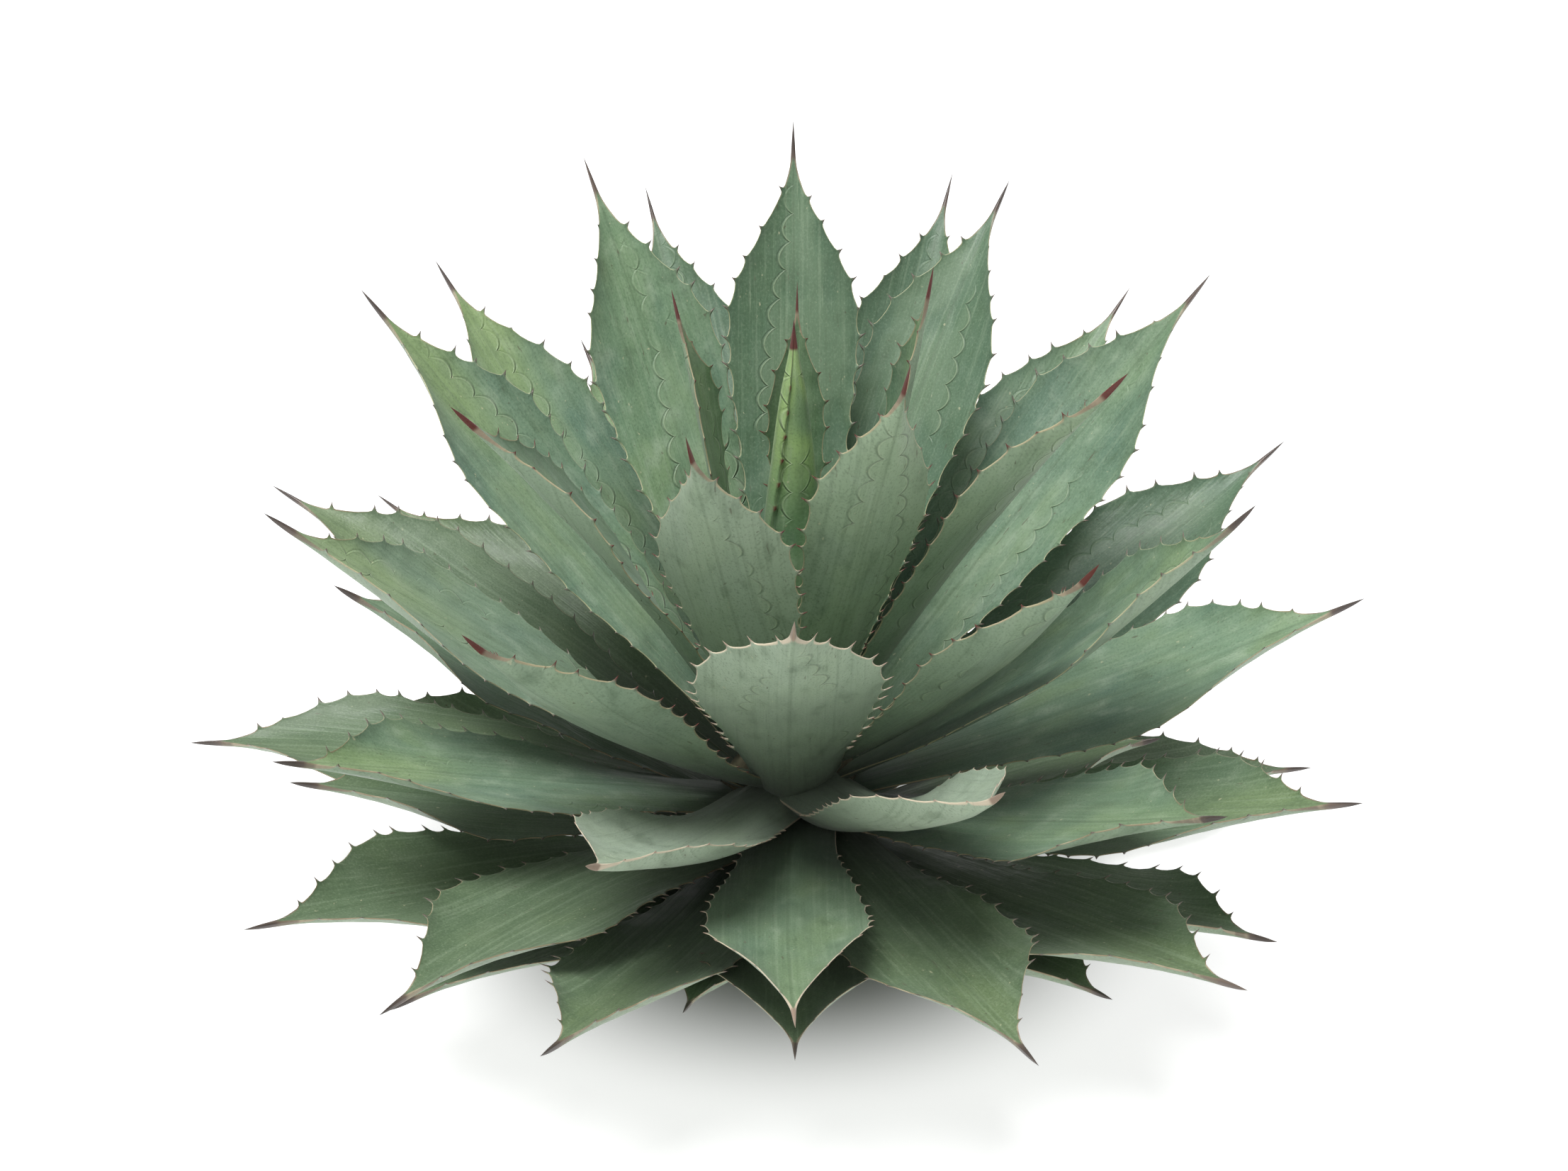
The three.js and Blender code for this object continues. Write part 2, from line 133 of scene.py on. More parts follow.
# %% The leaves
LEAVES = np.array([
    (178, 80, 300, 0, 56, 0, 0, 0, 15), (21, 63, 375, 5, 86, 0, 0, 0, 15),
    (97, 78, 335, 5, 60, 0, 0, 0, 15), (-105, 79, 315, -5, 60, 0, 0, 0, 15),
    (180, 65, 405, 5, 104, 0, 0, 0, 15), (60, 56, 372, -15, 96, 5, 0, 0, 22),
    (-17, 58, 360, 5, 88, 0, 0, 0.15, 15), (-144, 58, 405, 0, 100, 10, 5, 0, 15),
    (146.5, 53, 400, -15, 102, 0, -5, 0, 15), (-57, 54, 368, -15, 94, 15, 0, 0, 22),
    (39, 43, 345, 17, 96, 0, 0, 0, 30), (-111, 46, 395, 2, 98, 10, 0, 0, 15),
    (0, 41, 375, 10, 112, 0, 5, 1.4, 18), (118, 45, 400, 2, 105, -16, -5, 0, 15),
    (-162, 43, 420, 7, 98, 10, 5, 0, 15), (159, 48, 415, 2, 98, -10, 0, 0, 15),
    (-35, 37, 370, 17, 94, -10, -5, 0.2, 30), (61, 42.3, 375, 17, 98, -15, 0, 0, 22),
    (-133, 42, 403, 7, 100, 5, 0, 0, 15), (18, 27, 380, 24, 98, -3, 0, 1.3, 50),
    (140, 35, 405, 2, 98, -15, 0, 0, 15), (-71, 38, 380, 6, 102, 15, 0, 0, 15),
    (179, 33, 380, -8, 96, 0, 0, 0, 15), (-17, 22, 380, 15, 100, 3, 5, 1, 34),
    (77, 27.6, 362, 8, 102, -17, 0, 0.25, 15), (120, 24.4, 385, 13, 104, -14, 0, 0, 15),
    (-156, 28, 380, 2, 98, 5, 0, 0, 15), (-53, 22, 365, 1, 100, 10, 5, 0.4, 15),
    (40, 22, 365, 11, 102, -14, -5, 0.4, 15), (-88, 31.5, 290, 2, 112, 5, 0, 0, 15),
    (0, 12, 385, -4, 96, 0, 5, 0.6, 15), (-177, 20, 395, -13, 98, 0, 0, 0, 15),
    (56, 18, 375, 8, 102, -13, -5, 0.2, 15), (-116, 23, 380, -3, 98, 10, 0, 0, 15),
    (-68, 15.5, 298, 6, 102, 10, 0, 0, 15), (18.4, 8, 380, -8, 107, -4, 5, 0.5, 15),
    (-33, 9, 385, -15, 102, 0, 5, 0.4, 15), (-134, 15, 380, -3, 98, 15, 0, 0, 15),
    (158, 14, 390, -3, 98, 0, 0, 0, 15), (-100, 2, 365, -15, 100, 9, 0, 0, 15),
    (39, 9.5, 365, 5, 102, -3, -5, 0.3, 15), (-19, 11, 385, 5, 102, -5, -5, 0.5, 15),
    (93, 16, 195, -8, 96, 0, 0, 0.2, 15), (-163, 4, 385, -8, 98, 0, 0, 0, 15),
    (-50, 12.2, 375, -2, 102, 14, 5, 0.3, 15), (142, 4, 380, -8, 98, 0, 0, 0, 15),
    (0, 11, 330, -5, 105, 0, 0, 0, 15), (55, 7.2, 305, 0, 98, 3, -5, 0, 15),
    (-113, 7, 285, 4, 98, 0, 0, 0, 15), (-42, 6, 305, -13, 96, 0, 0, 0, 15),
    (115, -6, 355, -5, 96, -5, 0, 0.2, 15), (179, -2, 380, -18, 98, 0, 0, 0, 15),
    (36, 9, 268, -3, 94, 0, 0, 0, 15), (-13, 12, 240, -8, 94, 0, 0, 0, 15)], float)
print(f"{len(LEAVES)} leaves, {LEAVES[:, 2].min():.0f} to {LEAVES[:, 2].max():.0f} mm long")

# %% [markdown]
# ## The line a leaf follows
# The leaf starts on the stem's dome, which is half an ellipsoid on a short upright wall. From there its
# middle line is carried on in small steps, and at each of them the direction has turned a little by arch
# and swing. Every place on the line has three directions at right angles: forward along the leaf, side
# across it, and up, out of its upper face. Roll turns side and up about forward, and builds up over the
# leaf's first half.

# %% The line a leaf follows
STEM_RADIUS = 60.0
STEM_WALL = 41.0
STEM_DOME = 88.0
TOP_SEAT = math.radians(75)
CLEARANCE = 0.5
LINE_PIECES = 240
ROLL_BUILT = 0.5


def heading(climb, turn):
    """The unit vector at angle climb above the ground and turned by turn from the camera's side."""
    level = np.cos(climb)
    return np.stack([level * np.sin(turn), -level * np.cos(turn), np.sin(climb)], axis=-1)


def leaf_line(leaf, row, s):
    """Place, forward, side, up and climb at share s: the place is the sum of small steps along a heading
    that turns evenly."""
    azimuth, rise, length, arch, roll, swing = leaf[[0, 1, 2, 3, 5, 6]]

    def turn(share):
        return np.radians(azimuth + swing * (share - 0.5))

    def climb(share):
        return np.radians(rise + arch * (share - 0.5))

    seat = TOP_SEAT * (1 - row / (len(LEAVES) - 1))
    start = (STEM_RADIUS + CLEARANCE) * math.cos(seat) * heading(0, math.radians(azimuth))
    start = start + np.array([0, 0, STEM_WALL + STEM_DOME * math.sin(seat) + CLEARANCE])
    halfway = (np.arange(LINE_PIECES) + 0.5) / LINE_PIECES
    steps = heading(climb(halfway), turn(halfway)) * length / LINE_PIECES
    line = start + np.vstack([np.zeros(3), np.cumsum(steps, axis=0)])
    places = np.linspace(0, 1, LINE_PIECES + 1)
    place = np.stack([np.interp(s, places, line[:, axis]) for axis in range(3)], axis=-1)
    forward = heading(climb(s), turn(s))
    level = np.stack([np.cos(turn(s)), np.sin(turn(s)), np.zeros_like(s)], axis=-1)
    above = np.cross(forward, level)
    twist = (math.radians(roll) * smoothstep(s, 0, ROLL_BUILT))[..., None]
    side = level * np.cos(twist) - above * np.sin(twist)
    up = above * np.cos(twist) + level * np.sin(twist)
    return place, forward, side, up, climb(s)


def run_to_stem(place, forward):
    """How far each place has to run along forward to lie on the stem: on its dome, or on the wall below."""
    axes = np.array([STEM_RADIUS, STEM_RADIUS, STEM_DOME])

    def distance(p, d):
        a, b, c = (d * d).sum(-1), (p * d).sum(-1), (p * p).sum(-1) - 1
        return (np.sqrt(np.maximum(b * b - a * c, 0)) - b) / np.maximum(a, 1e-9)

    raised = (place - np.array([0, 0, STEM_WALL])) / axes
    flat = np.array([1, 1, 0])
    on_dome = distance(raised, forward / axes)
    on_wall = distance(raised * flat, forward / axes * flat)
    return np.where(place[..., 2] + on_dome * forward[..., 2] < STEM_WALL, on_wall, on_dome)


tips = np.array([leaf_line(leaf, row, np.array(1.0))[0] for row, leaf in enumerate(LEAVES)])
furthest = np.hypot(tips[:, 0], tips[:, 1]).max()
print(f"leaf tips reach {furthest:.0f} mm out and {tips[:, 2].max():.0f} mm up")

# %% [markdown]
# ## The blade
# Across its width the blade is an arc: tightly bent where it clasps the stem, a shallow channel in the
# middle, and a closed gutter near the tip. The arc is given by its half width and by the angle from its
# middle to its margin. Its thickness is a lens over that arc, with more of it below, where the leaf is
# fleshy. A real margin is no knife edge, so a narrow bead holds it about a millimetre thick.
#
# Neighbours squeeze the base, so its width gives way smoothly to the room that is there.

# %% The blade
SQUEEZED_HALF_ANGLE, FREE_HALF_ANGLE = 22, 70
SQUEEZED_BULK, FREE_BULK = 0.55, 2
TIP_CHANNEL = math.radians(55)
FLATTEST = 0.03  # radians, so that the arc always has a radius
SEATED_SHARE = 0.08
SHARE_ABOVE, SHARE_BELOW = 0.4, 0.6


def blade_frame(leaf, row, s):
    """Half width, arc angle and thickness at share s, with the line's place and directions."""
    width, heft, channel = leaf[4], leaf[7], math.radians(leaf[8])
    place, forward, side, up, climb = leaf_line(leaf, row, s)
    reach = np.hypot(place[..., 0], place[..., 1])
    free = WIDTH_SHARE(s) * width / 2
    room = reach * math.sin(math.radians(mix(SQUEEZED_HALF_ANGLE, FREE_HALF_ANGLE, heft)))
    half_width = free / (1 + (free / room) ** 4) ** 0.25
    bulk = mix(mix(SQUEEZED_BULK, FREE_BULK, heft), 1, smoothstep(s, 0.1, 0.5))
    thickness = THICKNESS_SHARE(s) * width * bulk
    clasp = np.arcsin(np.minimum(half_width * np.maximum(np.sin(climb), 0) / reach, 0.8))
    arc = mix(clasp, channel, smoothstep(s, 0.15, 0.5))
    arc = np.maximum(arc + (TIP_CHANNEL - channel) * smoothstep(s, 0.55, 0.92), FLATTEST)
    return place, forward, side, up, half_width, arc, thickness


def blade_surface(leaf, row, s, u, face, out, lean, lift):
    """A point at share s and share u of the half width: along side by R sin(arc u), along up by
    R (1 - cos(arc u)) with R = half width / sin(arc), then off the arc by the lens thickness times
    1 - |u|^2.2. out pushes a margin outwards in the blade, lean pushes it towards the tip, and lift
    moves the point off the surface."""
    place, forward, side, up, half_width, arc, thickness = blade_frame(leaf, row, s)
    radius = half_width / np.sin(arc)
    across = radius * np.sin(arc * u) + out * u * np.cos(arc)
    body = thickness * (1 - np.abs(u) ** 2.2) * np.where(face > 0, SHARE_ABOVE, SHARE_BELOW)
    height = radius * (1 - np.cos(arc * u)) + body * face + lift + out * np.sin(arc)
    point = place + side * across[..., None] + up * height[..., None] + forward * lean[..., None]
    seated = (1 - smoothstep(s, 0, SEATED_SHARE)) * run_to_stem(point, forward)
    return point + forward * seated[..., None], across, half_width


middle_width = blade_frame(LEAVES[12], 12, np.array(0.61))[4] * 2
print(f"the front leaf is {middle_width:.0f} mm wide at its widest")

# %% [markdown]
# ## Teeth
# The margins of an agave carry small hooked teeth, 17 to 20 mm apart, and the margin dips between them.
# They aren't evenly spaced or equally big, and now and then one has broken off, so seeded chance moves and
# scales them. Teeth could be small separate cones, but they would float or poke through. Here they are
# part of the blade's own surface: rows of points crowd together at each tooth, and its profile moves the
# outermost columns outwards and towards the tip.

# %% Teeth
TOOTH_SPACING = 18.0
TOOTH_HALF_WIDTH = 3.0
TOOTH_HEIGHTS = 3.2, 5.4
TOOTH_LEAN = 0.5
TEETH_FROM, TEETH_TO = 0.2, 0.875
WANDER = 0.2
BROKEN_CHANCE, BROKEN_HEIGHT = 0.06, 1.2
MARGIN_DIP, MARGIN_RISE = 1.4, 1.1
BASE_ROWS = np.array([0, 0.012, 0.025, 0.04, 0.055, 0.07, 0.085, 0.1, 0.12, 0.14, 0.16])
TIP_ROWS = np.array([0.9, 0.91, 0.92, 0.93, 0.94, 0.95, 0.96, 0.97, 0.978, 0.985, 0.991, 0.996])

# Along the margin, outwards, and towards the tip, as shares of the half width, the height and the lean.
TOOTH_PROFILE = np.array([
    (-1, 0, 0), (-0.55, 0.14, 0.1), (-0.25, 0.45, 0.35), (0, 1, 1), (0.14, 0.6, 0.5), (0.4, 0.15, 0.1),
    (1, 0, 0)])


def tooth_places(length, worn, chance):
    """The teeth's shares of the length, which are even steps moved by chance, their heights, which are a hump
    along the margin times chance, and the step."""
    count = int(round((TEETH_TO - TEETH_FROM) * length / TOOTH_SPACING))
    pitch = (TEETH_TO - TEETH_FROM) / (count - 1)
    moved = chance.uniform(-WANDER, WANDER, count) * (np.arange(count) > 0)
    teeth = TEETH_FROM + pitch * (np.arange(count) + moved)
    height = mix(*TOOTH_HEIGHTS, np.sin(np.pi * np.linspace(0.15, 0.8, count)))
    height = height * chance.uniform(0.7, 1.25, count)
    return teeth, np.where(chance.random(count) < BROKEN_CHANCE, BROKEN_HEIGHT, height) * worn, pitch


def margin_rows(length, worn, chance):
    """The rows of points down one margin: their share of the length, and how they stand out, lean and dip."""
    teeth, height, pitch = tooth_places(length, worn, chance)
    count = len(teeth)
    at_teeth = teeth[:, None] + TOOTH_HALF_WIDTH / length * TOOTH_PROFILE[:, 0]
    ends = np.r_[at_teeth[1:, 0], TIP_ROWS[0] - 0.004]
    between = at_teeth[:, -1:] + (ends - at_teeth[:, -1])[:, None] * np.array([1 / 3, 2 / 3])
    share = np.r_[BASE_ROWS, np.hstack([at_teeth, between]).ravel(), TIP_ROWS]

    def pad(values):
        values = np.hstack([values, np.zeros((count, 2))]).ravel()
        return np.r_[np.zeros(len(BASE_ROWS)), values, np.zeros(len(TIP_ROWS))]

    out = pad(height[:, None] * TOOTH_PROFILE[:, 1])
    lean = pad(height[:, None] * TOOTH_LEAN * TOOTH_PROFILE[:, 2])
    horn = pad(np.tile(TOOTH_PROFILE[:, 1] ** 0.5, (count, 1)))
    marks = np.r_[TEETH_FROM - pitch / 2, teeth, TEETH_TO + pitch / 2]
    between_teeth = np.sin(np.pi * (np.interp(share, marks, np.arange(count + 2) - 0.5) - 0.5)) ** 2
    has_teeth = smoothstep(share, 0.15, 0.24) * (1 - smoothstep(share, 0.84, 0.9))
    return share, out, lean, horn, (MARGIN_DIP * between_teeth - MARGIN_RISE) * has_teeth


print("rows down a 375 mm margin:", len(margin_rows(375, 1, np.random.default_rng(1))[0]))

# %% [markdown]
# ## What sets single leaves apart
# No two leaves of a plant have had the same life. Those of the heart still have maroon horn, while rain
# and sun have bleached that of the front leaves and worn their teeth down. Some channels have turned
# yellowish, and the bloom, the fine wax on the skin, is thick on some leaves and rubbed thin on others.
# Each is kept by the leaf's row in the list above.

# %% What sets single leaves apart
MAROON, BLEACHED = 1, -1
HORN_YOUTH = dict.fromkeys((0, 1, 2, 3, 5, 6, 9, 10, 16), MAROON) | dict.fromkeys((12, 19, 23, 30), BLEACHED)
WORN_TEETH = {12: 1.1, 19: 0.4, 23: 0.4, 24: 0.7, 30: 0.65}  # share of their full height
STREAKED = {11, 18, 21, 27, 32, 33, 35, 37, 40, 41}

# 1 is the thickest bloom and -1 the thinnest.
BLOOM = {
    0: -0.6, 1: 0.4, 2: -0.4, 4: -1.0, 6: 0.7, 7: -0.1, 8: -0.9, 10: -0.2, 12: 0.7, 13: -0.3, 14: -0.8,
    15: -0.9, 19: 1.0, 21: 0.3, 23: 1.0, 25: -0.7, 27: 0.1, 30: 0.1, 33: 0.2, 41: -0.2}

# How far the two rows of bud marks lie from the middle line halfway along, as shares of the half width.
MARKS = {
    0: (1.4, 0.4), 1: (0.45, 0.5), 4: (1.6, 0.5), 6: (1.5, 0.5), 7: (0.65, 0.1), 12: (0.5, 0.55),
    14: (0.4, 1.5)}
print(f"{len(HORN_YOUTH)} leaves with maroon or bleached horn, {len(STREAKED)} with a streak")

# %% [markdown]
# ## A whole leaf
# The points of a leaf form rings: each ring runs over the upper face from the left margin to the right one
# and back along the underside. Columns crowd towards the margins, where the teeth and the bead are. A
# margin also waves up and down by a millimetre or two, and the blade has shallow dents.
#
# With each point go the numbers that the skin's colours need: how far along and across the leaf it lies in
# millimetres, its distance from the margin, how horny it is, how old the leaf is, and its distance from
# two lines where the margins of neighbours were pressed into it while it was still rolled up in the bud.
# They go in threes, as the parts of a vector do, so two of the vectors end in a spare nought.

# %% A whole leaf
COLUMN_SHARES = np.array([1, 0.988, 0.965, 0.93, 0.87, 0.78, 0.66, 0.52, 0.36, 0.18])
UPPER = np.r_[-COLUMN_SHARES, 0, COLUMN_SHARES[::-1]]
LEAF_U = np.r_[UPPER, UPPER[1:-1][::-1]]
LEAF_FACE = np.r_[0, np.ones(len(UPPER) - 2), 0, -np.ones(len(UPPER) - 2)]
NEAR_MARGIN = [0.87, 0.93, 0.965, 0.988, 1]
TOOTH_REACH = np.interp(np.abs(LEAF_U), NEAR_MARGIN, [0, 0.06, 0.25, 0.6, 1])
BEAD = np.interp(np.abs(LEAF_U), NEAR_MARGIN, [0, 0.08, 0.25, 0.35, 0]) * LEAF_FACE
FULL_BEAD_WIDTH = 24  # where the blade is narrower than this, its bead is lower
WAVE_HEIGHT, DENT_HEIGHT = 1.6, 0.3
FIRST_SEED = 500


def waves_and_dents(s, chance):
    """A sine along the margins times |u|^3, up on one side and down on the other, and dents that fade
    towards the margins."""
    waves, phase = chance.uniform(1.6, 3.2), chance.uniform(0, 6.28)
    past_base = smoothstep(s, 0.1, 0.4)
    sway = np.sin(2 * np.pi * waves * s + phase) * past_base * (1 - smoothstep(s, 0.75, 0.93))
    dents = np.sin(2 * np.pi * (waves + 1.3) * s - phase + 2 * LEAF_U) * past_base
    lift = WAVE_HEIGHT * sway * np.abs(LEAF_U) ** 3 * np.sign(LEAF_U)
    lift = lift + DENT_HEIGHT * dents * (1 - np.abs(LEAF_U))
    return lift * (1 - smoothstep(s, 0.8, 0.93))


def leaf_points(leaf, row):
    """The leaf's rings of points, its tip, and the numbers that ride with each point."""
    chance = np.random.default_rng(FIRST_SEED + row)
    length = leaf[2]
    left, right = (margin_rows(length, WORN_TEETH.get(row, 1), chance) for _ in range(2))
    s = mix(left[0][:, None], right[0][:, None], (LEAF_U + 1) / 2)
    out, lean, horn, dip = (
        np.where(LEAF_U > 0, r[:, None], l[:, None]) for l, r in zip(left[1:], right[1:]))
    lift = waves_and_dents(s, chance)
    narrow = np.clip(WIDTH_SHARE(s) * leaf[4] / FULL_BEAD_WIDTH, 0, 1)
    outwards = out * TOOTH_REACH - dip * smoothstep(np.abs(LEAF_U), 0.3, 1)
    points, across, half_width = blade_surface(
        leaf, row, s, LEAF_U, LEAF_FACE, outwards, lean * TOOTH_REACH, lift + BEAD * narrow)

    edge = half_width * (1 - np.abs(LEAF_U)) + out * (1 - TOOTH_REACH)
    start = chance.uniform(0.3, 0.65, 2) + (chance.random(2) < 0.3)
    slant = chance.uniform(-1.6, -0.4, 2)
    line = half_width[..., None] * (MARKS.get(row, start) + slant * (s[..., None] - 0.5))
    streak = 1.0 if row in STREAKED else chance.uniform(0.1, 0.5)
    even = np.ones_like(s)
    seed = chance.uniform(0, 1) * even
    age = row / (len(LEAVES) - 1) * even
    horny = np.maximum(horn * TOOTH_REACH, smoothstep(s, 0.92, 0.95))
    numbers = {
        "leaf_place": (s * length, across, edge),
        "leaf_state": (s, age, LEAF_FACE * even),
        "leaf_prints": (across + line[..., 0], across - line[..., 1], seed),
        "leaf_horn": (horny, HORN_YOUTH.get(row, 0) * even, 0 * s),
        "leaf_skin": (BLOOM.get(row, 0) * even, streak * even, 0 * s),
    }
    return points, leaf_line(leaf, row, np.array(1.0))[0], numbers


print("points round the front leaf and down it:", leaf_points(LEAVES[12], 12)[0].shape[1::-1])

# %% [markdown]
# ## One closed skin
# Rings of points become a skin when each is joined to the next by quads. At the stem a fan of triangles
# closes the leaf as a flat lid, and another at the tip meets in a single point, so there is no hole in it.
#
# A closed skin has a volume, and its sign says whether the faces look outwards. Rings that turn the other
# way round, as those of the bud and the stem do, make a skin that is inside out. Then the corners of every
# face are taken in the opposite order, and no point is moved.

# %% One closed skin
def signed_volume(points, quads, fans):
    """A sixth of the sum of a . (b x c) over all triangles: positive where the faces point outwards."""
    triangles = np.vstack([quads[:, [0, 1, 2]], quads[:, [0, 2, 3]], fans])
    a, b, c = (points[triangles[:, k]] for k in range(3))
    return (a * np.cross(b, c)).sum() / 6


def ring_skin(rings, start, end):
    """Rings of points as a closed skin that faces outwards: quads between rings, and a fan at each end."""
    count, around = rings.shape[:2]
    points = np.vstack([rings.reshape(-1, 3), start, end])
    index = np.arange(count * around).reshape(count, around)
    beside = np.roll(index, -1, axis=1)
    quads = np.stack([index[:-1], index[1:], beside[1:], beside[:-1]], axis=-1).reshape(-1, 4)
    first, last = len(points) - 2, len(points) - 1
    lid = np.stack([np.full(around, first), index[0], beside[0]], axis=-1)
    point = np.stack([np.full(around, last), beside[-1], index[-1]], axis=-1)
    fans = np.vstack([lid, point])
    if signed_volume(points, quads, fans) < 0:
        quads = quads[:, [0, 3, 2, 1]]
        fans = fans[:, [0, 2, 1]]
    return points, quads, fans


rings, tip, _ = leaf_points(LEAVES[12], 12)
trial = ring_skin(rings, rings[0].mean(axis=0), tip)
print(f"the front leaf: {len(trial[0])} points, {signed_volume(*trial) / 1000:.0f} cm3")

# %% [markdown]
# ## From points to a piece
# Blender keeps metres, so the millimetres are divided by a thousand on the way in. Each piece rides on the
# one body of the plant and stands for its imported node, which is hidden.

# %% From points to a piece
def make_piece(name, skin, material, numbers=None):
    """A smooth mesh from points, quads and triangles in millimetres, with its numbers kept at its points."""
    points, quads, fans = skin
    mesh = bpy.data.meshes.new(name)
    mesh.from_pydata((points / 1000).tolist(), [], quads.tolist() + fans.tolist())
    mesh.polygons.foreach_set("use_smooth", np.ones(len(mesh.polygons), bool))
    for label, parts in (numbers or {}).items():
        values = np.stack(parts, axis=-1).reshape(-1, 3)
        values = np.vstack([values, values[0], values[-1]]).astype(np.float32)
        mesh.attributes.new(label, "FLOAT_VECTOR", "POINT").data.foreach_set("vector", values.ravel())
    mesh.materials.append(material)
    piece = bpy.data.objects.new(name + "_living", mesh)
    bpy.context.scene.collection.objects.link(piece)
    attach(piece, "root")
    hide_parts(name)


waiting = sorted(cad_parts)
print(f"{len(waiting)} packed nodes wait for their piece, from {waiting[0]} to {waiting[-1]}")

# %% [markdown]
# ## Colours and nodes
# Colours are written as the hex values that a screen shows. Blender works with linear light, so one
# function turns them. Another adds a node to a material with its settings, values and links, and hands
# back its output.

# %% Colours and nodes
def linear(colour):
    """sRGB hex to linear light: c / 12.92 below 0.04045, else ((c + 0.055) / 1.055)^2.4."""
    c = np.array([int(colour[i:i + 2], 16) for i in (1, 3, 5)]) / 255
    c = np.where(c <= 0.04045, c / 12.92, ((c + 0.055) / 1.055) ** 2.4)
    return (*c, 1.0)


def add_node(tree, kind, inputs=None, output=0, **settings):
    """Adds a shader node, sets its properties, sets or links its inputs, and returns one of its outputs."""
    node = tree.nodes.new("ShaderNode" + kind)
    for key, value in settings.items():
        setattr(node, key, value)
    for key, value in (inputs or {}).items():
        if isinstance(value, bpy.types.NodeSocket):
            tree.links.new(value, node.inputs[key])
        else:
            node.inputs[key].default_value = value
    return node.outputs[output]


def new_material(name):
    """An empty node material, its tree, and its Principled shader."""
    material = bpy.data.materials.new(name)
    material.use_nodes = True
    return material, material.node_tree, material.node_tree.nodes["Principled BSDF"]


print("leaf green in linear light:", np.round(linear("#8fa08c")[:3], 3))

# %% [markdown]
# ## The cuticle's patterns
# An agave leaf has a thick waxy cuticle. Fibres run lengthwise just under it and show as faint lines a few
# millimetres apart, and its green varies in broad clouds. The wax lies on it in patches, thick or rubbed
# thin, and rain, grit, insects and the teeth of neighbours leave small marks.
#
# All this could be painted as a picture and laid on the leaf. Here each pattern is a noise, read in
# millimetres along and across the leaf, so that it bends with the blade and is never stretched: the two
# are divided by the size of the pattern's own grain. A number that differs from leaf to leaf shifts the
# noise, and no two leaves look alike.

# %% The cuticle's patterns
SMOOTH = {"interpolation_type": "SMOOTHSTEP"}

# Each grain's size along and across the leaf in millimetres, a shift that sets it apart, and its detail.
GRAINS = {
    "clouds": (70.0, 34.0, 0.0, 2.0),   # broad changes of tone
    "wax": (24.0, 13.0, 5.0, 4.0),      # patches where the bloom is thick or rubbed thin
    "fibres": (160.0, 2.8, 9.0, 2.0),   # strands under the skin; real ones are about half as wide
    "pores": (1.6, 1.3, 13.0, 2.0),     # rows of pores; real ones are five times finer
    "flecks": (5.0, 3.6, 17.0, 2.0),    # small marks left by rain, grit and insects
    "rubs": (30.0, 2.0, 21.0, 1.0),     # where a neighbour's teeth dragged over the wax
    "scars": (15.0, 2.4, 25.0, 2.0),    # short corky scars
}


# The names of the numbers that ride with each point, by the attribute that keeps them.
NUMBERS = {
    "leaf_place": "along across edge",
    "leaf_state": "share age face",
    "leaf_prints": "print_a print_b seed",
    "leaf_horn": "horn youth",
    "leaf_skin": "bloom streak",
}
LEAVES_APART = 37.0  # how far the number of a leaf shifts its noise


def leaf_numbers(tree):
    """The numbers kept at the leaf's points as sockets by name, and a noise for each of the grains."""
    on = {}
    for label, parts in NUMBERS.items():
        vector = add_node(tree, "Attribute", attribute_name=label, output=1)
        on.update(zip(parts.split(), add_node(tree, "SeparateXYZ", {0: vector}).node.outputs))
    for label, (per_along, per_across, shift, detail) in GRAINS.items():
        spot = add_node(tree, "CombineXYZ", {
            0: add_node(tree, "Math", {0: on["along"], 1: per_along}, operation="DIVIDE"),
            1: add_node(tree, "Math", {0: on["across"], 1: per_across}, operation="DIVIDE"),
            2: add_node(tree, "Math", {0: on["seed"], 1: LEAVES_APART, 2: shift}, operation="MULTIPLY_ADD")})
        on[label] = add_node(tree, "TexNoise", {"Vector": spot, "Scale": 1.0, "Detail": detail})
    return on


for label, (per_along, per_across, _, _) in GRAINS.items():
    print(f"{label}: {per_along:g} mm along and {per_across:g} mm across")

# %% [markdown]
# ## Marks of the bud
# Scallops run down the blade where the toothed margins of its neighbours lay on it in the bud. Between two
# rows of scallops the skin stands a few tenths of a millimetre proud. Its rim is a low crest, painted lighter
# as a painted highlight, and just outside it lies a shallow line, painted darker as painted shade. The rows
# could be modelled, but their relief is far finer than the leaf's mesh. So each is drawn from the distance to
# the line of such a margin, and bulges outwards from it by an arc: |sin|^0.7 of the way along, about 19 mm
# for each scallop, like the spacing of the teeth.
#
# The smaller of the two distances says how far a place lies inside both rows, so that one number gives the
# raised panel, the crest with its painted highlight and the line with its painted shade.

# %% Marks of the bud
SCALLOP_LENGTH = 19.0
SCALLOP_DEPTH = 6.5
SCALLOP_ROUNDNESS = 0.7

# Marks fade at the foot and the tip, come and go in patches, and have weathered on old leaves: a number, and
# its values where they have gone and where they are clear.
MARKED = (("share", 0.14, 0.3), ("share", 0.93, 0.8), ("clouds", 0.43, 0.56), ("age", 0.75, 0.1))


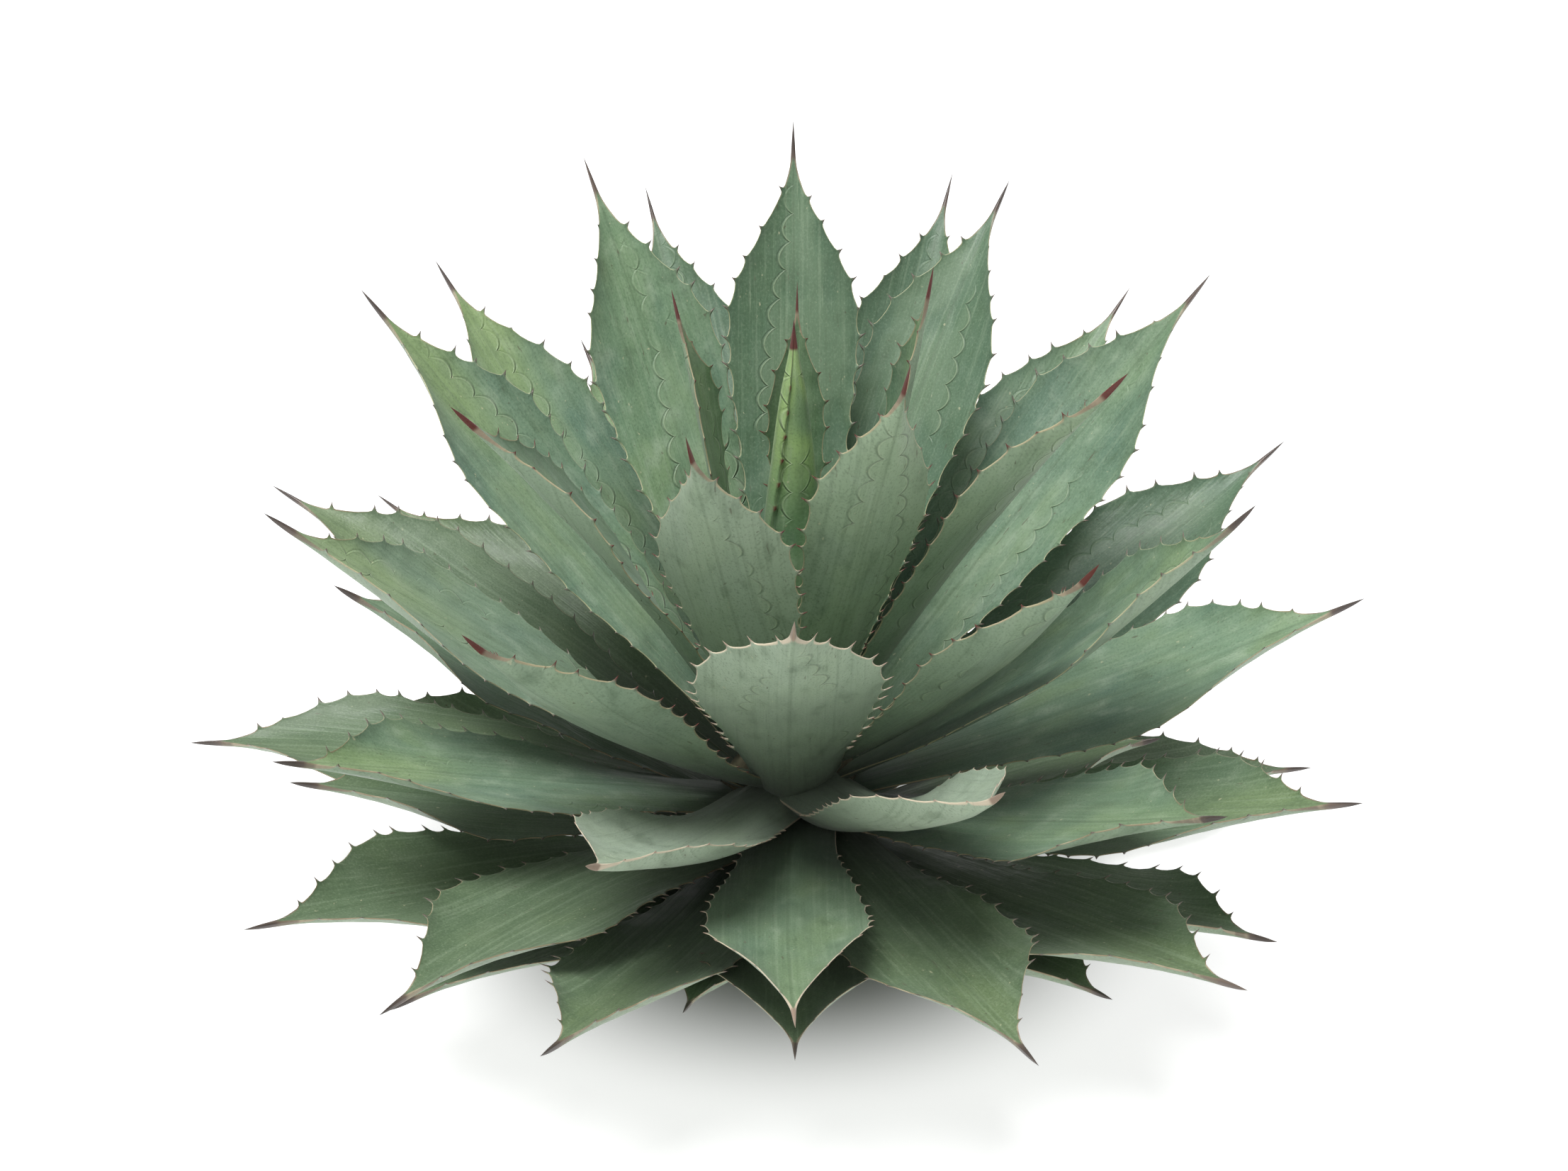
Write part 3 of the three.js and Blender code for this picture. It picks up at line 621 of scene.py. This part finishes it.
def bud_marks(tree, on):
    """Adds panel, crest and line: steps of the distance inside both rows of scallops, which bulge beyond
    their line by depth |sin(pi along / length)|^0.7. Crest and line are relief, and in the skin's colour also
    a painted highlight and painted shade."""
    turns = add_node(tree, "Math", {0: on["along"], 1: math.pi / SCALLOP_LENGTH}, operation="MULTIPLY")
    for name, shift in (("seed", 3.0), ("clouds", 1.5)):
        turns = add_node(tree, "Math", {0: on[name], 1: shift, 2: turns}, operation="MULTIPLY_ADD")
    wave = add_node(tree, "Math", {0: turns}, operation="SINE")
    wave = add_node(tree, "Math", {0: wave}, operation="ABSOLUTE")
    wave = add_node(tree, "Math", {0: wave, 1: SCALLOP_ROUNDNESS}, operation="POWER")
    sides = [add_node(tree, "Math", {0: on[line], 1: way}, operation="MULTIPLY")
             for line, way in (("print_a", 1.0), ("print_b", -1.0))]
    inside = add_node(tree, "Math", {0: sides[0], 1: sides[1]}, operation="MINIMUM")
    inside = add_node(tree, "Math", {0: wave, 1: SCALLOP_DEPTH, 2: inside}, operation="MULTIPLY_ADD")
    where = 1.0
    for name, gone, clear in MARKED:
        part = add_node(tree, "MapRange", {0: on[name], 1: gone, 2: clear}, **SMOOTH)
        where = add_node(tree, "Math", {0: part, 1: where}, operation="MULTIPLY")
    # crest and line shape the relief, and also give a painted highlight on the rim and painted shade outside
    # it
    for name, middle, reach in (("crest_and_highlight", 0.7, 1.0), ("line", -0.7, 1.2)):
        off = add_node(tree, "Math", {0: inside, 1: middle}, operation="SUBTRACT")
        off = add_node(tree, "Math", {0: off}, operation="ABSOLUTE")
        near = add_node(tree, "MapRange", {0: off, 1: reach, 2: 0.0}, **SMOOTH)
        on[name] = add_node(tree, "Math", {0: near, 1: where}, operation="MULTIPLY")
    raised = add_node(tree, "MapRange", {0: inside, 1: -0.9, 2: 0.7}, **SMOOTH)
    on["panel"] = add_node(tree, "Math", {0: raised, 1: where}, operation="MULTIPLY")


print(f"{375 / SCALLOP_LENGTH:.0f} scallops in a row on a 375 mm leaf")

# %% [markdown]
# ## Streak and margin
# Some layers of colour need a number of their own. The yellowish streak follows the channel, on the upper
# face, towards the tip. The horny margin is a line half a millimetre wide, which widens to about one
# millimetre before it runs into the spine.

# %% Streak and margin
STREAK_WHERE = (("middle", 34.0, 2.0), ("share", 0.45, 0.85), ("face", -0.3, 0.2))
RIM_WIDTH, RIM_NEAR_SPINE = 0.45, 1.1


def streak_and_margin(tree, on):
    """Adds middle: |across|. Adds channel: the streak's share times how near the middle and the tip a place
    is, on the upper face. Adds rim: the horny margin's width less the distance from the edge, in mm."""
    on["middle"] = add_node(tree, "Math", {0: on["across"]}, operation="ABSOLUTE")
    channel = on["streak"]
    for name, gone, clear in STREAK_WHERE:
        part = add_node(tree, "MapRange", {0: on[name], 1: gone, 2: clear}, **SMOOTH)
        channel = add_node(tree, "Math", {0: part, 1: channel}, operation="MULTIPLY")
    on["channel"] = channel
    width = add_node(tree, "MapRange", {
        0: on["share"], 1: 0.8, 2: 0.92, 3: RIM_WIDTH, 4: RIM_NEAR_SPINE}, **SMOOTH)
    on["rim"] = add_node(tree, "Math", {0: width, 1: on["edge"]}, operation="SUBTRACT")


print(f"a horny rim of {RIM_WIDTH} mm that widens to {RIM_NEAR_SPINE} mm")

# %% [markdown]
# ## The colours of the skin
# The wax scatters light, so the green under it looks grey-blue. Young leaves are fresher and old ones
# darker, and the underside is paler than the upper face. The skin is painted in the order in which these
# lie over each other: the green of the leaf's age, clouds of bluer and yellower green, patches of wax, the
# yellowish channel, the dark green of old leaves, thicker or thinner bloom, the paler underside, places
# with little wax, fibres and pores, painted shade on the foot that the light hardly reaches, a fine line down
# the middle, the marks of the bud with a painted highlight on their rims and painted shade beside them,
# then flecks, rubs and scars.
#
# Each layer has the name of a number, its values where the layer begins and where it is strongest, how
# strong it is there, and its colour. The margin and the spine are horn and have layers of their own: cream
# to brown with age along the margin, brown on the spine, maroon while young, and bleached where sun and
# rain reach it.

# %% The colours of the skin
HEART_GREEN = "#8ba767"
SKIN_LAYERS = [
    ("age", -0.12, 0.02, 1.0, "#5f7e55"),
    ("age", 0.02, 0.2, 1.0, "#657e66"),
    ("clouds", 0.5, 0.3, 0.6, "#4e6b5c"),
    ("clouds", 0.5, 0.7, 0.4, "#778d60"),
    ("wax", 0.5, 0.8, 0.5, "#97a792"),
    ("channel", 0.0, 1.0, 0.5, "#859a59"),
    ("age", 0.45, 0.68, 0.8, "#4d5e41"),
    ("bloom", 0.0, 1.0, 0.65, "#a0ac9a"),
    ("bloom", 0.0, -1.0, 0.8, "#46604a"),
    ("face", 0.3, -0.3, 0.5, "#93a48c"),
    ("wax", 0.47, 0.25, 0.38, "#43573f"),
    ("fibres", 0.52, 0.7, 0.2, "#43573f"),
    ("fibres", 0.48, 0.3, 0.2, "#8b9c83"),
    ("pores", 0.5, 0.75, 0.35, "#3b4d37"),
    ("pores", 0.5, 0.25, 0.15, "#9aab90"),
    # painted shade on the foot of each leaf, deep in the rosette where the light hardly reaches
    ("share", 0.4, 0.08, 0.45, "#2b3b27"),
    ("middle", 1.7, 0.3, 0.22, "#3b4d35"),
    ("panel", 0.0, 1.0, 0.12, "#8da081"),
    # painted shade in the line outside each rim of bud marks
    ("line", 0.0, 1.0, 0.3, "#3b4d35"),
    # painted highlight on the crest of each rim of bud marks
    ("crest_and_highlight", 0.0, 1.0, 0.3, "#a3b391"),
    ("flecks", 0.72, 0.78, 0.5, "#b4b293"),
    ("flecks", 0.28, 0.22, 0.6, "#463f2d"),
    ("rubs", 0.7, 0.78, 0.15, "#a0ac90"),
    ("scars", 0.71, 0.77, 0.6, "#4b4334"),
]
MARGIN_CREAM = "#aeac87"
MARGIN_LAYERS = [
    ("age", 0.2, 0.6, 1.0, "#86745a"),
    ("share", 0.84, 0.92, 0.8, "#62534a"),
    ("wax", 0.5, 0.6, 0.5, "#b3a68c"),
    ("youth", 0.0, 1.0, 0.3, "#7d4a3c"),
    ("youth", 0.0, -1.0, 0.8, "#cdbca6"),
]
HORN_BROWN = "#3f3631"
HORN_LAYERS = [
    ("share", 0.96, 0.92, 0.6, "#6b5b51"),
    ("fibres", 0.5, 0.7, 0.3, "#8b7a6e"),
    ("youth", 0.0, 1.0, 0.9, "#551b13"),
    ("youth", 0.0, -1.0, 0.5, "#b59c88"),
]


def painted(tree, on, colour, layers):
    """Lays each layer over the colour so far: under + strength smoothstep(number) (over - under)."""
    colour = linear(colour)
    for name, begins, full, strength, over in layers:
        share = add_node(tree, "MapRange", {0: on[name], 1: begins, 2: full, 4: strength}, **SMOOTH)
        colour = add_node(tree, "Mix", {0: share, 6: colour, 7: linear(over)}, output=2, data_type="RGBA")
    return colour


print(f"{len(SKIN_LAYERS)} layers of skin, {len(MARGIN_LAYERS)} of margin, {len(HORN_LAYERS)} of horn")

# %% [markdown]
# ## The cuticle
# The material is a plant's cuticle with its wax bloom, and horn where the margin and the spine are. The
# wax keeps the leaf matt, with a roughness near 0.5 that rises where it lies thick, and gives a soft sheen
# at grazing angles, as fine powder does. Its IOR is that of plant wax, 1.45. Horn is smoother.
#
# The relief is a sum of the patterns, each times a height in millimetres. The panels of the bud marks
# stand 0.6 proud, fibres rise and fall by less than half a millimetre, and the clouds are shallow dents. A
# bump bends the light as this relief would, without any points for it.

# %% The cuticle
RELIEF = [
    ("clouds", 2.5), ("wax", 0.7), ("fibres", 0.45), ("pores", 0.12), ("panel", 0.6), ("crest_and_highlight", 0.25),
    ("line", -0.25)]
MILLIMETRE = 0.001
RIM_STRENGTH = 0.85
THIN_WAX_ROUGHNESS, THICK_WAX_ROUGHNESS, HORN_ROUGHNESS = 0.42, 0.58, 0.36

cuticle, tree, shader = new_material("waxy agave cuticle and horn")
on = leaf_numbers(tree)
bud_marks(tree, on)
streak_and_margin(tree, on)
green = painted(tree, on, HEART_GREEN, SKIN_LAYERS)
margin = painted(tree, on, MARGIN_CREAM, MARGIN_LAYERS)
horn = painted(tree, on, HORN_BROWN, HORN_LAYERS)
at_margin = add_node(tree, "MapRange", {0: on["rim"], 1: -0.4, 2: 0.3, 4: RIM_STRENGTH}, **SMOOTH)
at_horn = add_node(tree, "MapRange", {0: on["horn"], 1: 0.15, 2: 0.75}, **SMOOTH)
colour = add_node(tree, "Mix", {0: at_margin, 6: green, 7: margin}, output=2, data_type="RGBA")
colour = add_node(tree, "Mix", {0: at_horn, 6: colour, 7: horn}, output=2, data_type="RGBA")
tree.links.new(colour, shader.inputs["Base Color"])

relief = 0.0
for name, height in RELIEF:
    relief = add_node(tree, "Math", {0: on[name], 1: height, 2: relief}, operation="MULTIPLY_ADD")
normal = add_node(tree, "Bump", {"Height": relief, "Strength": 0.9, "Distance": MILLIMETRE})
tree.links.new(normal, shader.inputs["Normal"])

wax_roughness = add_node(tree, "MapRange", {
    0: on["wax"], 1: 0.3, 2: 0.7, 3: THIN_WAX_ROUGHNESS, 4: THICK_WAX_ROUGHNESS}, **SMOOTH)
roughness = add_node(tree, "Mix", {0: at_horn, 2: wax_roughness, 3: HORN_ROUGHNESS}, data_type="FLOAT")
tree.links.new(roughness, shader.inputs["Roughness"])
shader.inputs["IOR"].default_value = 1.45
shader.inputs["Sheen Weight"].default_value = 0.08
shader.inputs["Sheen Roughness"].default_value = 0.5
print(f"{cuticle.name}: {len(tree.nodes)} nodes")

# %% [markdown]
# ## Growing the leaves
# Now every leaf is worked out, closed into a skin and given the cuticle. The smallest volume is above
# nought, so the faces of all of them point outwards.

# %% Growing the leaves
volumes = []
for row, leaf in enumerate(LEAVES):
    rings, tip, numbers = leaf_points(leaf, row)
    skin = ring_skin(rings, rings[0].mean(axis=0), tip)
    volumes.append(signed_volume(*skin) / 1000)
    make_piece(f"leaf_{row + 1:02d}", skin, cuticle, numbers)
print(f"{len(volumes)} leaves of {min(volumes):.0f} to {max(volumes):.0f} cm3, {sum(volumes):.0f} cm3 in all")

# %% [markdown]
# ## The bud
# The youngest leaves are still rolled round each other into a slender cone. It could be a plain cone with
# a groove painted on, but the edge of the outermost leaf stands proud and casts a shadow. So its
# cross-section is a roll: going round, the radius grows a little, until the outer edge stands over the
# place where the roll began. That edge winds a quarter turn from foot to tip and carries small teeth, and
# the cone ends in a spine.
#
# The bud has the same cuticle as the leaves, so it brings the same numbers. It turns yellower towards its
# tip, where the leaves are youngest, its lower part takes the painted shade of a leaf's foot, and rows of
# marks run up its front and its back.

# %% The bud
BUD_LENGTH = 292.0
BUD_FOOT = STEM_WALL + STEM_DOME + CLEARANCE
BUD_RADIUS = through([(0, 10), (0.25, 20), (0.5, 18.5), (0.68, 13.5), (0.82, 8.5), (0.93, 2.8), (1, 0)])
BUD_STEP = 0.14
LIP_HEIGHT = 1.2
BUD_TOOTH_SPACING, BUD_TOOTH_HEIGHT, BUD_TOOTH_ANGLE = 16, 1.2, 0.18
BUD_AGE_AT_FOOT, BUD_AGE_AT_TIP = 0.08, -0.11
UNROLLED_WIDTH = 60
BUD_PRINTS_APART = 3
BUD_SEED = 0.3
BUD_STREAK = 0.3


def bud_points(rows=150, columns=72):
    """At height share s and share r of the roll: radius(s) (1 + step (r - 1/2)) at 2 pi (r + s / 4 + 1/2)."""
    s = np.linspace(0, 0.992, rows)[:, None]
    r = (np.arange(columns) / columns)[None, :]
    lip = smoothstep(r, 0.88, 0.985)
    tooth = np.maximum(0, 1 - np.abs((s * BUD_LENGTH / BUD_TOOTH_SPACING) % 1 - 0.5) * 5)
    tooth = tooth * (s > 0.2) * (s < 0.88)
    rolled = smoothstep(s, 0.02, 0.1) * (1 - smoothstep(s, 0.86, 0.93))
    radius = BUD_RADIUS(s) * (1 + BUD_STEP * (r - 0.5)) + LIP_HEIGHT * lip * rolled
    angle = 2 * np.pi * (r + s / 4 + 0.5) + BUD_TOOTH_ANGLE * tooth * smoothstep(r, 0.93, 1)
    height = np.broadcast_to(BUD_FOOT + s * BUD_LENGTH + BUD_TOOTH_HEIGHT * tooth * lip, radius.shape)
    points = np.stack([radius * np.cos(angle), radius * np.sin(angle), height], axis=-1)

    even = np.ones_like(radius)
    edge = (1 - r) * 2 * np.pi * radius
    marks = np.sin(2 * np.pi * (r + s / 4 - 0.27)) * radius
    age = mix(BUD_AGE_AT_FOOT, BUD_AGE_AT_TIP, smoothstep(s, 0.4, 0.8))
    horn = np.maximum(tooth * smoothstep(r, 0.955, 0.985), smoothstep(s, 0.925, 0.94) * even)
    numbers = {
        "leaf_place": (s * BUD_LENGTH * even, (r - 0.5) * UNROLLED_WIDTH * even, edge),
        # share rises only to 0.7, so the painted shade of a leaf's foot darkens the bud from its foot to
        # about halfway up
        "leaf_state": (0.7 * s * even, age * even, even),
        "leaf_prints": (marks + BUD_PRINTS_APART, marks - BUD_PRINTS_APART, BUD_SEED * even),
        "leaf_horn": (horn, MAROON * even, 0 * even),
        "leaf_skin": (0 * even, BUD_STREAK * even, 0 * even),
    }
    return points, np.array([0, 0, BUD_FOOT + BUD_LENGTH]), numbers


rings, tip, numbers = bud_points()
skin = ring_skin(rings, np.array([0, 0, BUD_FOOT]), tip)
make_piece("bud", skin, cuticle, numbers)
print(f"bud: {signed_volume(*skin) / 1000:.0f} cm3")

# %% [markdown]
# ## The stem's bark
# Little of the stem shows: its dome is hidden under the leaf bases, and below them is a short wall, covered
# in the dark, fibrous scars of leaves that were pulled off. The same dark colour runs over the dome as
# painted shade, where it shows between the leaf bases. Underneath it was cut flat with a knife and has
# dried: cream and light brown, with the cut ends of the fibres as dots. The wall's colour gives way to that
# of the cut within the lowest millimetre. Dried fibre has no gloss, so it is rough and dull all over.
#
# The scales count grains a metre: 160 makes the scars some 6 mm wide, and 480 the fibre ends 2 mm. Real fibre
# ends are half that, too fine to be seen from here. A scale of 38 sets the rings of scars some 8 mm apart.

# %% The stem's bark
bark, tree, shader = new_material("dried fibrous agave bark")
spot = add_node(tree, "TexCoord", output=3)
scars = add_node(tree, "TexNoise", {"Vector": spot, "Scale": 160.0, "Detail": 4.0, "Roughness": 0.65})
rings_of_scars = add_node(tree, "TexWave", {
    "Vector": spot, "Scale": 38.0, "Distortion": 3.0, "Detail": 3.0}, bands_direction="Z")
ends = add_node(tree, "TexVoronoi", {"Vector": spot, "Scale": 480.0})
height = add_node(tree, "SeparateXYZ", {0: spot}, output=2)
cut = add_node(tree, "MapRange", {0: height, 1: 0.0012, 2: 0.0004})
# dark scars on the wall, and painted shade on the dome where it shows between the leaf bases
scars_and_shade = add_node(tree, "Mix", {
    0: scars, 6: linear("#25271a"), 7: linear("#5c553a")}, output=2, data_type="RGBA")
pale = add_node(tree, "Mix", {
    0: ends, 6: linear("#8a7148"), 7: linear("#cdbd91")}, output=2, data_type="RGBA")
colour = add_node(tree, "Mix", {0: cut, 6: scars_and_shade, 7: pale}, output=2, data_type="RGBA")
tree.links.new(colour, shader.inputs["Base Color"])
relief = add_node(tree, "Math", {0: rings_of_scars, 1: scars}, operation="ADD")
normal = add_node(tree, "Bump", {"Height": relief, "Strength": 0.7, "Distance": MILLIMETRE})
tree.links.new(normal, shader.inputs["Normal"])
shader.inputs["Roughness"].default_value = 0.8
print(f"{bark.name}: {len(tree.nodes)} nodes")

# %% [markdown]
# ## The stem
# The stem is a profile turned about the plant's axis: out along the flat cut with a small worn edge, up
# the wall, and over the dome. Rows of scars make the wall slightly wavy, always inwards from the packed
# stem.

# %% The stem
STEM_INSET = 0.4
DOME_INSET = 0.2
CUT_PROFILE = np.array([(20, 0), (40, 0), (57.5, 0), (58.6, 0.3), (59.2, 0.8)])
RIPPLE_HEIGHT = 0.75


def stem_points(columns=120):
    """Radius and height along the profile, turned through a full circle, less a ripple of up to 1.5 mm."""
    wall = np.linspace(1.5, STEM_WALL, 24)
    dome = np.linspace(0, np.pi / 2, 26)[1:-1]
    on_wall = np.full(len(wall), STEM_RADIUS - STEM_INSET)
    radius = np.r_[CUT_PROFILE[:, 0], on_wall, (STEM_RADIUS - STEM_INSET) * np.cos(dome)]
    height = np.r_[CUT_PROFILE[:, 1], wall, STEM_WALL + (STEM_DOME - DOME_INSET) * np.sin(dome)]
    turn = np.linspace(0, 2 * np.pi, columns, endpoint=False)
    ripple = RIPPLE_HEIGHT * (1 + np.sin(height[:, None] * 0.75 + 1.2 * np.sin(5 * turn)))
    ripple = ripple * (smoothstep(height, 0.9, 4) * (1 - smoothstep(height, 30, 41)))[:, None]
    around = radius[:, None] - ripple
    heights = np.broadcast_to(height[:, None], around.shape)
    return np.stack([around * np.cos(turn), around * np.sin(turn), heights], axis=-1)


top = np.array([0, 0, STEM_WALL + STEM_DOME - DOME_INSET])
skin = ring_skin(stem_points(), np.zeros(3), top)
make_piece("stem", skin, bark)
print(f"stem: {signed_volume(*skin) / 1000:.0f} cm3")

# %% [markdown]
# ## The light table
# The plant stands on a sheet of opal acrylic that is lit from below. Opal acrylic is cloudy all through,
# so it spreads the light evenly and has hardly a reflection. It glows beyond the plant's foot, which keeps
# the ground pale up to the horizon. Its glow fades out towards the foot, a painted shadow under the plant
# that adds to the soft shadow of the lamps and shows what it stands on.

# %% The light table
FLOOR_REACH = 30
GLOW_BEGINS, GLOW_FULL, GLOW_STRENGTH = 0.1, 0.26, 0.72

light_table, tree, shader = new_material("opal acrylic light table")
shader.inputs["Base Color"].default_value = linear("#b8b8b8")
shader.inputs["Roughness"].default_value = 0.9
spot = add_node(tree, "TexCoord", output=3)
from_foot = add_node(tree, "VectorMath", {0: spot}, output=1, operation="LENGTH")
# the glow fades out towards the plant's foot: a painted shadow under the plant
glow_and_painted_shadow = add_node(tree, "MapRange", {
    0: from_foot, 1: GLOW_BEGINS, 2: GLOW_FULL, 4: GLOW_STRENGTH}, **SMOOTH)
shader.inputs["Emission Color"].default_value = linear("#ffffff")
tree.links.new(glow_and_painted_shadow, shader.inputs["Emission Strength"])
mesh = bpy.data.meshes.new("floor")
corners = [(x * FLOOR_REACH, y * FLOOR_REACH, 0) for x, y in ((-1, -1), (1, -1), (1, 1), (-1, 1))]
mesh.from_pydata(corners, [], [(0, 1, 2, 3)])
mesh.materials.append(light_table)
floor = bpy.data.objects.new("floor", mesh)
bpy.context.scene.collection.objects.link(floor)
print(f"{floor.name}: glows fully from {GLOW_FULL} m outwards")

# %% [markdown]
# ## Light
# Soft light from all sides keeps the attention on the plant. A large softbox overhead, a little to the
# front and left, gives it form, a broad weak lamp fills from the front left, and a pale world fills the
# shadows. Both lamps are suns with a wide angle, because a sun lights near and far leaves alike and its
# angle makes the shadows soft. The Standard view shows the colours as they are.

# %% Light
world = bpy.data.worlds.new("pale studio")
bpy.context.scene.world = world
world.use_nodes = True
world.node_tree.nodes["Background"].inputs["Color"].default_value = linear("#ffffff")
world.node_tree.nodes["Background"].inputs["Strength"].default_value = 0.4

LAMPS = {  # direction that the light comes from, its angular size in degrees, and its strength
    "overhead_softbox": ((-0.2, -0.12, 1.0), 38, 4.3),
    "front_fill": ((-0.4, -1.0, 0.25), 60, 0.75),
}
for name, (direction, spread, strength) in LAMPS.items():
    lamp = bpy.data.objects.new(name, bpy.data.lights.new(name, "SUN"))
    lamp.data.angle = math.radians(spread)
    lamp.data.energy = strength
    lamp.rotation_euler = (-Vector(direction)).to_track_quat("-Z", "Y").to_euler()
    bpy.context.scene.collection.objects.link(lamp)
bpy.context.scene.view_settings.view_transform = "Standard"
print("lamps:", ", ".join(LAMPS))
